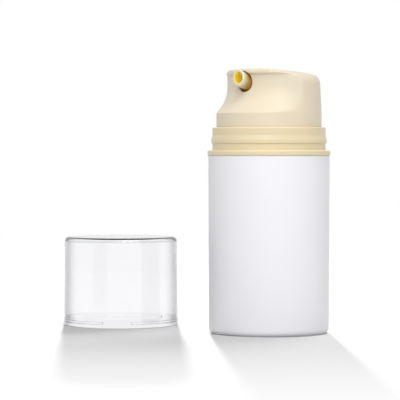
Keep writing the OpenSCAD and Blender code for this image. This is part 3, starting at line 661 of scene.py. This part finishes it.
def head_side(angle, z, inwards=0.0):
    """Radius of the head at an angle and a height: the smaller of the round side and the distance
    to the scoop's arc, whose centre lies c behind the axis, so that it is c times the sine of the
    angle plus the root of rho squared less c cosine squared. The arc counts on the front half
    only. A soft minimum rounds where they meet."""
    front = head_r - bite(z, inwards)
    c = (scoop_side_r ** 2 - front ** 2) / (2 * front)
    rho = c + front
    arc = c * np.sin(angle) + np.sqrt(rho ** 2 - (c * np.cos(angle)) ** 2)
    arc = np.where(np.sin(angle) < 0, arc, head_r * 2)
    plain = round_side(z, inwards)
    blend = 0.35
    near = np.clip(blend - np.abs(arc - plain), 0, None) / blend
    return np.minimum(arc, plain) - near ** 2 * blend / 4


def dome(angle, radius, inwards=0.0):
    """Height of the top over a point: a sphere whose middle is under the front of the brim."""
    x, y = radius * np.cos(angle), radius * np.sin(angle) - dome_y
    top = head_top_z - (roof_t if inwards else 0)
    return top - dome_r + np.sqrt(dome_r ** 2 - x ** 2 - y ** 2)


turn = np.linspace(0, 2 * math.pi, 384, endpoint=False)
middle_front = np.array([-math.pi / 2])
print("front of the brim at", head_side(middle_front, np.array([98.8])).round(2),
      "and of the scoop at", head_side(middle_front, np.array([95.0])).round(2))

# %% [markdown]
# The side and the dome meet on a line that rises towards the brim. That line is found by going
# back and forth between the two forty times. The corner there is then rounded in each direction on
# its own: tightly along the brim, where the real edge is crisp, and widely at the back. How near
# the line runs to the axis tells the two apart.

# %% The head's skin
brim_line_r, back_line_r = 14.5, 18.0
brim_rounding, back_rounding, inner_rounding = 1.3, 2.2, 0.3
longest_trim = 2.4


def head_skin(inwards, side_rows, top_rows, corner_rows):
    """Rows of the head's surface from its foot up to the middle of its top. The side rows above
    the scoop are squeezed to end at the rounding; the rounding is the curve that leaves the side
    and reaches the dome, drawn towards their corner; the dome's rows shrink to its middle."""
    z_end = np.full(turn.shape, 97.0)
    for _ in range(40):
        z_end = dome(turn, head_side(turn, z_end, inwards), inwards)
    r_end = head_side(turn, z_end, inwards)
    step = 0.05
    lean = (r_end - head_side(turn, z_end - step, inwards)) / step
    fall = (dome(turn, r_end, inwards) - dome(turn, r_end - step, inwards)) / step
    down = -np.stack([lean, np.ones_like(lean)]) / np.hypot(lean, 1)
    over = -np.stack([np.ones_like(fall), fall]) / np.hypot(fall, 1)
    half = np.arccos(np.clip((down * over).sum(0), -1, 1)) / 2
    rounding = inner_rounding if inwards else np.interp(
        r_end, [brim_line_r, back_line_r], [brim_rounding, back_rounding])
    trim = np.minimum(rounding / np.tan(half), longest_trim)
    corner = np.stack([r_end, z_end])
    leaves, reaches = corner + down * trim, corner + over * trim
    leaves[0] = head_side(turn, leaves[1], inwards)
    reaches[1] = dome(turn, reaches[0], inwards)
    squeeze_z = 91.0 if inwards else 92.0
    levels = side_rows[:, None]
    share = np.clip((levels - squeeze_z) / (side_rows[-1] - squeeze_z), 0, 1)
    z = np.where(levels > squeeze_z, squeeze_z + share * (leaves[1] - squeeze_z), levels)
    side = np.stack([head_side(turn + 0 * z, z, inwards), z])
    t = np.linspace(0, 1, corner_rows + 1)[1:-1, None]
    bend = ((1 - t) ** 2 * leaves[:, None, :] + 2 * t * (1 - t) * corner[:, None, :]
            + t ** 2 * reaches[:, None, :])
    shrink = (1 - np.linspace(0, 1, top_rows)[:, None] ** 1.2) * reaches[0]
    top = np.stack([shrink, dome(turn, shrink, inwards)])
    radius, height = np.concatenate([side, bend, top], axis=1)
    return np.stack([radius * np.cos(turn), radius * np.sin(turn), height], axis=-1)


foot_bend = 0.3
outer_rows = np.concatenate([
    np.linspace(head_z + foot_bend, 82.6, 10), np.linspace(82.7, 83.9, 13),
    np.linspace(84.1, 91.9, 31), np.linspace(92.0, 99.3, 58)])
inner_rows = np.concatenate([
    np.linspace(head_z + foot_bend, 82.0, 5), np.linspace(82.3, 91.0, 18),
    np.linspace(91.3, 97.8, 14)])
outer = head_skin(0.0, outer_rows, top_rows=26, corner_rows=9)
inner = head_skin(head_wall, inner_rows, top_rows=10, corner_rows=4)

# %% [markdown]
# The rim at the head's foot is two quarter circles, one from the inside down and one up to the
# outside. They are the same all round, so they are turned like any profile. The shell is then one
# grid: from the middle of the roof's underside down the inside, round the rim, and up the outside
# to the middle of the top.

# %% The head's foot and shell
quarter = np.linspace(0, math.pi / 2, 5)
goes_down, goes_up = foot_bend * (1 - np.sin(quarter)), foot_bend * (1 - np.cos(quarter))
foot = np.concatenate([np.stack([head_r - head_wall + goes_up, head_z + goes_down], axis=1),
                       np.stack([head_r - goes_down, head_z + goes_up], axis=1)])
shell = np.concatenate([inner[::-1], turned(foot, len(turn)), outer])
head = as_object("head_shell_skin", shell)
print("head grid", shell.shape)

# %% [markdown]
# ## The spout's hole, and what is inside the head
#
# The spout belongs to a core inside the head and comes out through a round hole with a dark gap
# round it. The hole is cut with a long pin along the spout's own direction, which rises 22 degrees,
# a quarter of a millimetre below the spout's axis. A boss under the roof takes the top of the
# core, and three ribs hold it.

# %% Hole, boss and ribs
spout_tilt = math.radians(22)
spout_root_z, spout_l = 89.693, 17.904
tip_l, tip_run = 3, 2
spout_r, spout_bore_r = 2.9, 2.2
hole_r, hole_drop = 3.6, 0.25


def along_spout(grid, drop=0.0):
    """Tips a grid that stands about the upright axis over onto the spout's axis: sideways stays,
    back goes to the sine and cosine of the tilt, and up goes along the spout. Close to the tip
    each point first slides along by its height across times the tangent of the tilt, which
    stands the tip's face upright."""
    x, y, t = np.moveaxis(grid, -1, 0)
    t = t + y * math.tan(spout_tilt) * np.clip((t - spout_l + tip_l) / tip_run, 0, 1)
    return np.stack([x, y * math.sin(spout_tilt) - t * math.cos(spout_tilt),
                     y * math.cos(spout_tilt) + t * math.sin(spout_tilt) + spout_root_z - drop],
                    axis=-1)


def pin(radius, start, end, columns=128):
    """A plain solid pin, as a profile that starts and ends on its axis."""
    return turned(np.array([[0, start], [radius, start], [radius, end], [0, end]]), columns)


join_or_cut(head, as_object("tool", along_spout(pin(hole_r, 0.5, 24), hole_drop)), "DIFFERENCE")

core_r, core_top_z = 4.2, 94.4
boss_in, boss_out = core_r + 0.03, core_r + 1.13
boss_z, boss_top_z = 91.4, 98.1
boss = as_object("boss", (turned(with_ends(np.array([
    [boss_in, boss_z], [boss_out, boss_z], [boss_out, boss_top_z], [boss_in, boss_top_z]])),
    96), True))
join_or_cut(boss, as_object("tool", along_spout(pin(hole_r, 0.5, 12), hole_drop)), "DIFFERENCE")


def upright_box(x0, x1, y0, y1, z0, z1):
    """A box as a grid of four columns, whose first and last rows shrink to a point."""
    ring = np.array([[x0, y0], [x1, y0], [x1, y1], [x0, y1]])
    centre = np.broadcast_to(ring.mean(0), ring.shape)
    flat = np.stack([centre, ring, ring, centre])
    height = np.array([z0, z0, z1, z1])[:, None, None] + np.zeros((4, 4, 1))
    return np.concatenate([flat, height], axis=-1)


rib_start, rib_end = boss_out - 0.4, head_r - head_wall - head_draft - 0.4
rib_half, side_rib_top_z, back_rib_top_z = 0.5, 97.5, 96.3
ribs = as_object(
    "ribs",
    upright_box(rib_start, rib_end, -rib_half, rib_half, boss_z, side_rib_top_z),
    upright_box(-rib_end, -rib_start, -rib_half, rib_half, boss_z, side_rib_top_z),
    upright_box(-rib_half, rib_half, rib_start, rib_end, boss_z, back_rib_top_z))
print("boss", len(boss.data.polygons), "faces, ribs", len(ribs.data.polygons))

# %% Put the head together
work = bmesh.new()
for part in (head, boss, ribs):
    work.from_mesh(part.data)
whole = bpy.data.meshes.new("head_shell_skin")
work.to_mesh(whole)
work.free()
head.data = whole
for part in (boss, ribs):
    bpy.data.objects.remove(part)
dress(head, cream_head, "head", "cream_pp", "actuator_shell")

# %% [markdown]
# ## The spout
#
# The core is an upright post that sits on the pump's stem, and the spout is a tube that grows out
# of it, with a shoulder that closes the head's hole from inside. Both are turned shapes, joined,
# and then bored: from below for the stem, and from the tip for the product. The tip's edge is
# soft, and a short amber lining sits in its mouth, lit by its own lamp.

# %% Spout core and its lining
core_z = 82.0
core = as_object("spout_core_skin", turned(rounded([
    (0, core_z, 0), (core_r, core_z, 0.3), (core_r, core_top_z, 0.4), (0, core_top_z, 0)]), 128))
shoulder_r, shoulder_l, shoulder_t = 4.1, 10.58, 1
shoulder_start = shoulder_l - shoulder_t
spout = as_object("spout", along_spout(turned(rounded([
    (0, 0.2, 0), (spout_r, 0.2, 0), (spout_r, shoulder_start, 0.1),
    (shoulder_r, shoulder_start, 0.1), (shoulder_r, shoulder_l, 0.2), (spout_r, shoulder_l, 0.3),
    (spout_r, spout_l, 0.3), (0, spout_l, 0)]), 128)))
join_or_cut(core, spout, "UNION")
stem_socket, product_way = pin(2.53, 80.0, 87.03), pin(1.1, 86.5, 89.7)
join_or_cut(core, as_object("tool", stem_socket), "DIFFERENCE")
join_or_cut(core, as_object("tool", product_way), "DIFFERENCE")
passage_r, sleeve_start = 1.25, spout_l - 6.3
bore = np.array([[0, -1.2], [passage_r, -1.2], [passage_r, sleeve_start],
                 [spout_bore_r, sleeve_start], [spout_bore_r, spout_l - 0.5],
                 [spout_bore_r, spout_l - 0.2], [spout_bore_r + 0.06, spout_l - 0.06],
                 [spout_bore_r + 0.2, spout_l], [spout_bore_r + 0.3, spout_l + 1],
                 [0, spout_l + 1]])
join_or_cut(core, as_object("tool", along_spout(turned(bore, 128))), "DIFFERENCE")
dress(core, spout_pp, "head", "spout_pp", "spout_core")

lining_in, lining_out, lining_start, lining_end = 1.82, 2.17, sleeve_start + 0.05, spout_l - 0.3
lining = as_object("spout_lining", (along_spout(turned(rounded([
    (lining_in, lining_start, 0.05), (lining_out, lining_start, 0.05),
    (lining_out, lining_end, 0.1), (lining_in, lining_end, 0.12)], 4), 96)), True))
dress(lining, amber_pp, "head", "amber_pp", "orifice_sleeve")
mouth_only = bpy.data.collections.new("lit by the mouth soft box")
mouth_only.objects.link(lining)
mouth_box.light_linking.receiver_collection = mouth_only

# %% [markdown]
# ## The cap
#
# The cap is a clear tumbler that stands upside down. Inside its rim are three low beads, each a
# third of the way round less a gap, which snap over the collar's lip. They belong to the wall, so
# they are not separate rings: the inner wall's radius simply shrinks where a bead is. Close rows
# draw them, put in after the outline's last point. One thing there is known and left: that point
# lies at the rows' lower end, so below 3.4 mm the inner wall runs down, back up and down again.
# Leaving out the outline's last point, and not the one before it, would unfold it.

# %% Clear cap
cap_x, cap_y = -68.5, -14.0
cap_bore_r, cap_r, cap_h, cap_draft, cap_top_t = 22.0, 22.7, 34.9, 0.4, 0.9
bead_z, bead_half, bead_flank, bead_proud = 1.9, 0.6, 0.35, 0.3
bead_turn, bead_gap, bead_end = math.radians(-46), math.radians(28), math.radians(0.8)


def cap_grid(columns=768):
    """The cap's closed profile turned about its axis, with the beads drawn in from the inner
    wall: their height profile is a flat-topped hump, and round the rim it is switched on and off
    by the distance in angle from the middle of the nearest gap."""
    rows = np.linspace(3.4, 0.5, 30)
    bead_rows = np.stack([cap_bore_r - cap_draft * rows / cap_h, rows], axis=1)
    outline = rounded([(cap_bore_r, 0, 0.25), (cap_r, 0, 0.25), (cap_r - cap_draft, cap_h, 1.8),
                       (0, cap_h, 0), (0, cap_h - cap_top_t, 0),
                       (cap_bore_r - cap_draft, cap_h - cap_top_t, 1.1)], steps=10)
    outline = np.concatenate([outline[:-2], outline[-1:], bead_rows])
    angle = np.arange(columns) * 2 * math.pi / columns
    radius, height = outline[:, 0][:, None], outline[:, 1][:, None]
    third = 2 * math.pi / 3
    from_gap = np.abs((angle - bead_turn + third / 2) % third - third / 2)
    switch = np.clip((from_gap - bead_gap / 2) / bead_end, 0, 1)
    hump = np.clip((bead_half - np.abs(height - bead_z)) / bead_flank, 0, 1)
    hump = hump * hump * (3 - 2 * hump) * (radius < cap_bore_r + 0.1)
    drawn_in = radius - bead_proud * hump * switch
    return np.stack([cap_x + drawn_in * np.cos(angle), cap_y + drawn_in * np.sin(angle),
                     height + 0 * angle], axis=-1)


cap = as_object("clear_cap", (cap_grid(), True))
dress(cap, clear_styrene, "cap", "clear_styrene", "overcap", sharp=50)

kept_out = bpy.data.collections.new("kept out of the front soft box")
kept_out.objects.link(cap)
kept_out.collection_objects[0].light_linking.link_state = "EXCLUDE"
front_box.light_linking.receiver_collection = kept_out

# %% [markdown]
# ## The return spring
#
# The spring stands in the pump chamber, out of sight, and is pressed from 11 mm to 6 mm when the
# head goes down. Its wire is a circle carried along a helix that closes up to one dead turn at
# each end, and a point closes each end of the wire.

# %% Spring
spring_r, wire_r, spring_z, spring_l, live_turns = 4.3, 0.35, 57.6, 11.0, 4


def coil_line(t):
    """The wire's middle after t turns: a circle whose height climbs slowly over the first and the
    last turn, and evenly in between."""
    close = 2 * wire_r + 0.05
    live = spring_l - 2 * wire_r - 2 * close
    height = (np.clip(t, 0, 1) * close + np.clip((t - 1) / live_turns, 0, 1) * live
              + np.clip(t - 1 - live_turns, 0, 1) * close)
    return np.stack([spring_r * np.cos(2 * math.pi * t), spring_r * np.sin(2 * math.pi * t),
                     spring_z + wire_r + height], axis=-1)


t = np.linspace(0, live_turns + 2, 193)
line = coil_line(t)
ahead = np.gradient(line, axis=0)
ahead /= np.linalg.norm(ahead, axis=1)[:, None]
outward = line * np.array([1, 1, 0]) / spring_r
across = np.cross(ahead, outward)
round_wire = np.linspace(0, 2 * math.pi, 14, endpoint=False)[None, :, None]
thick = np.full(len(t) + 2, wire_r)
thick[[0, -1]] = 0
ends = np.r_[0, np.arange(len(t)), len(t) - 1]
wire = line[ends][:, None, :] + thick[:, None, None] * (
    outward[ends][:, None, :] * np.cos(round_wire) - across[ends][:, None, :] * np.sin(round_wire))
spring = as_object("return_spring_wire", wire)
work = bmesh.new()
work.from_mesh(spring.data)
bmesh.ops.recalc_face_normals(work, faces=work.faces)
work.to_mesh(spring.data)
work.free()
dress(spring, drawn_steel, "bottle", "stainless_steel", "return_spring")
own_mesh(spring)

# %% [markdown]
# ## The pieces that stay as they are
#
# The rest of the pump is hidden in the bottle, and its CAD solids already have their true shapes.
# They keep them, and only get their finish.

# %% Finishes for the inside
inside = {"inner_lid": natural_pp, "lid_gasket": seal_rubber, "pump_housing": natural_pp,
          "housing_gasket": seal_rubber, "chaplet": natural_pp, "inlet_ball": lapped_steel,
          "poppet": natural_pp, "piston_seal": natural_pe, "stem": natural_pp,
          "outlet_ball": lapped_steel, "follower_piston": natural_pe}
for name, finish in inside.items():
    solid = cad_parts[name]
    if not solid.data.materials:
        solid.data.materials.append(finish)
    for slot in solid.material_slots:
        slot.material = finish
print("finished", len(inside), "inner pieces")
